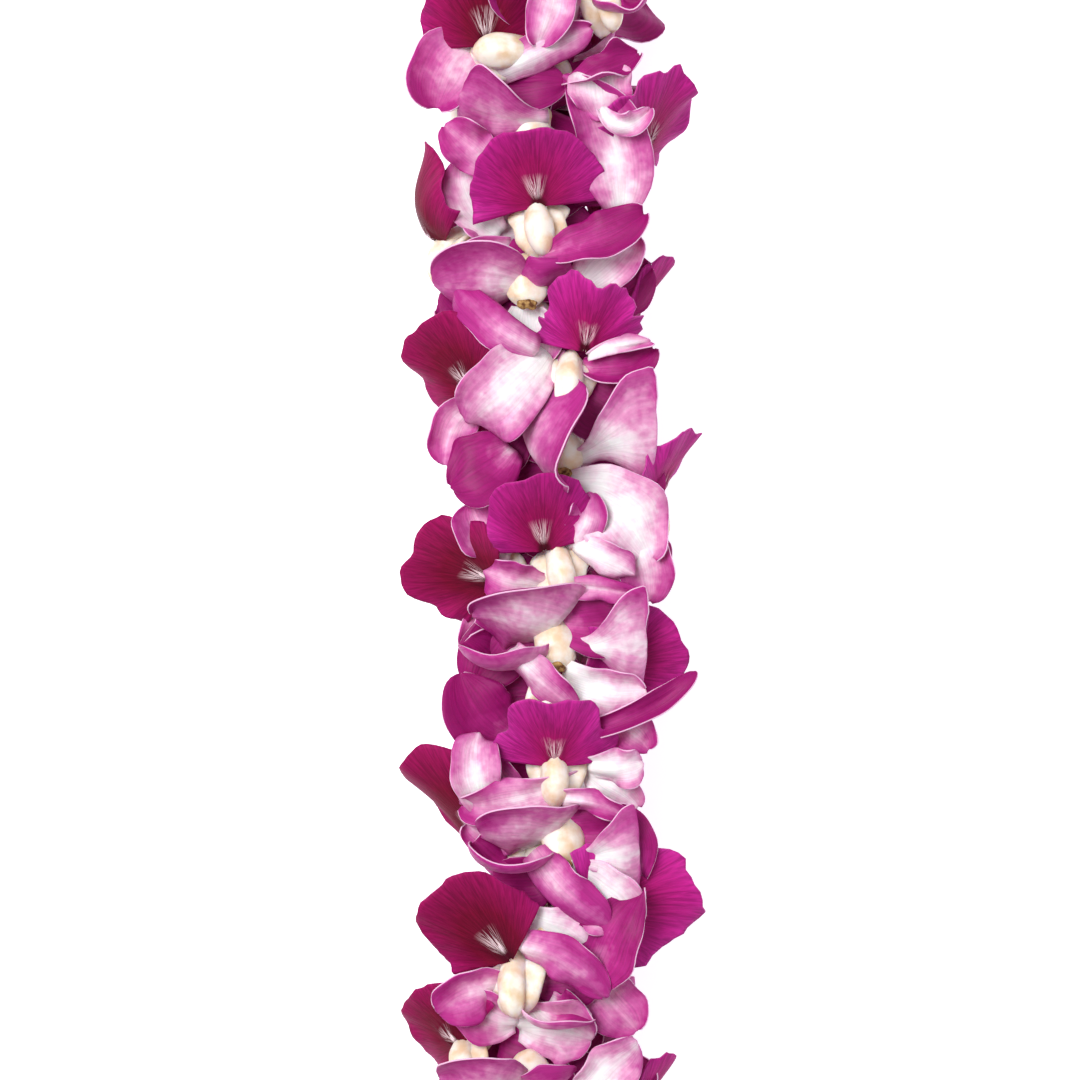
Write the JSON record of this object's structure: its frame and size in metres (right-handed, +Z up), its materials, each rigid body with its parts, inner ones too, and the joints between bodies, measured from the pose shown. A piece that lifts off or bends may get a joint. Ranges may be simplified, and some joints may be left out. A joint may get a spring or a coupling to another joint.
{
  "type": "fresh flower lei",
  "caption": "Fresh orchid lei: whole purple and white blossoms strung closely on one thread, tied into a loop and laid flat.",
  "frame": {"origin": "on the table, at the middle of the lei's outline seen from above", "axes": "+Z up from the table; +Y along the straight near run, the way its lips point; +X from the far run to the near run"},
  "size_m": [0.2084, 0.4308, 0.0511],
  "materials": {
    "petal": "waxy petals and sepals, white at the base and orchid purple towards the edge",
    "lip": "velvety crimson purple with fine darker veins",
    "column": "smooth waxy cream",
    "thread": "twisted undyed cotton"
  },
  "bodies": {
    "root": {"blossom_pair_01": "petal", "blossom_pair_02": "petal", "blossom_pair_03": "petal", "blossom_pair_04": "petal", "blossom_pair_05": "petal", "blossom_pair_06": "petal", "blossom_pair_07": "petal", "blossom_pair_08": "petal", "blossom_pair_09": "petal", "blossom_pair_10": "petal", "blossom_pair_11": "petal", "blossom_pair_12": "petal", "blossom_pair_13": "petal", "blossom_pair_14": "petal", "blossom_pair_15": "petal", "blossom_pair_16": "petal", "blossom_pair_17": "petal", "blossom_pair_18": "petal", "blossom_pair_19": "petal", "blossom_pair_20": "petal", "blossom_pair_21": "petal", "blossom_pair_22": "petal", "blossom_pair_23": "petal", "blossom_pair_24": "petal", "blossom_pair_25": "petal", "blossom_pair_26": "petal", "blossom_pair_27": "petal", "blossom_pair_28": "petal", "blossom_pair_29": "petal", "blossom_pair_30": "petal", "blossom_pair_31": "petal", "blossom_pair_32": "petal", "blossom_pair_33": "petal", "blossom_pair_34": "petal", "blossom_pair_35": "petal", "blossom_pair_36": "petal", "blossom_pair_37": "petal", "blossom_pair_38": "petal", "blossom_pair_39": "petal", "blossom_pair_40": "petal", "blossom_pair_41": "petal", "blossom_pair_42": "petal", "blossom_pair_43": "petal", "blossom_pair_44": "petal", "blossom_pair_45": "petal", "blossom_pair_46": "petal", "thread": "thread", "thread_knot": "thread"}
  },
  "joints": []
}
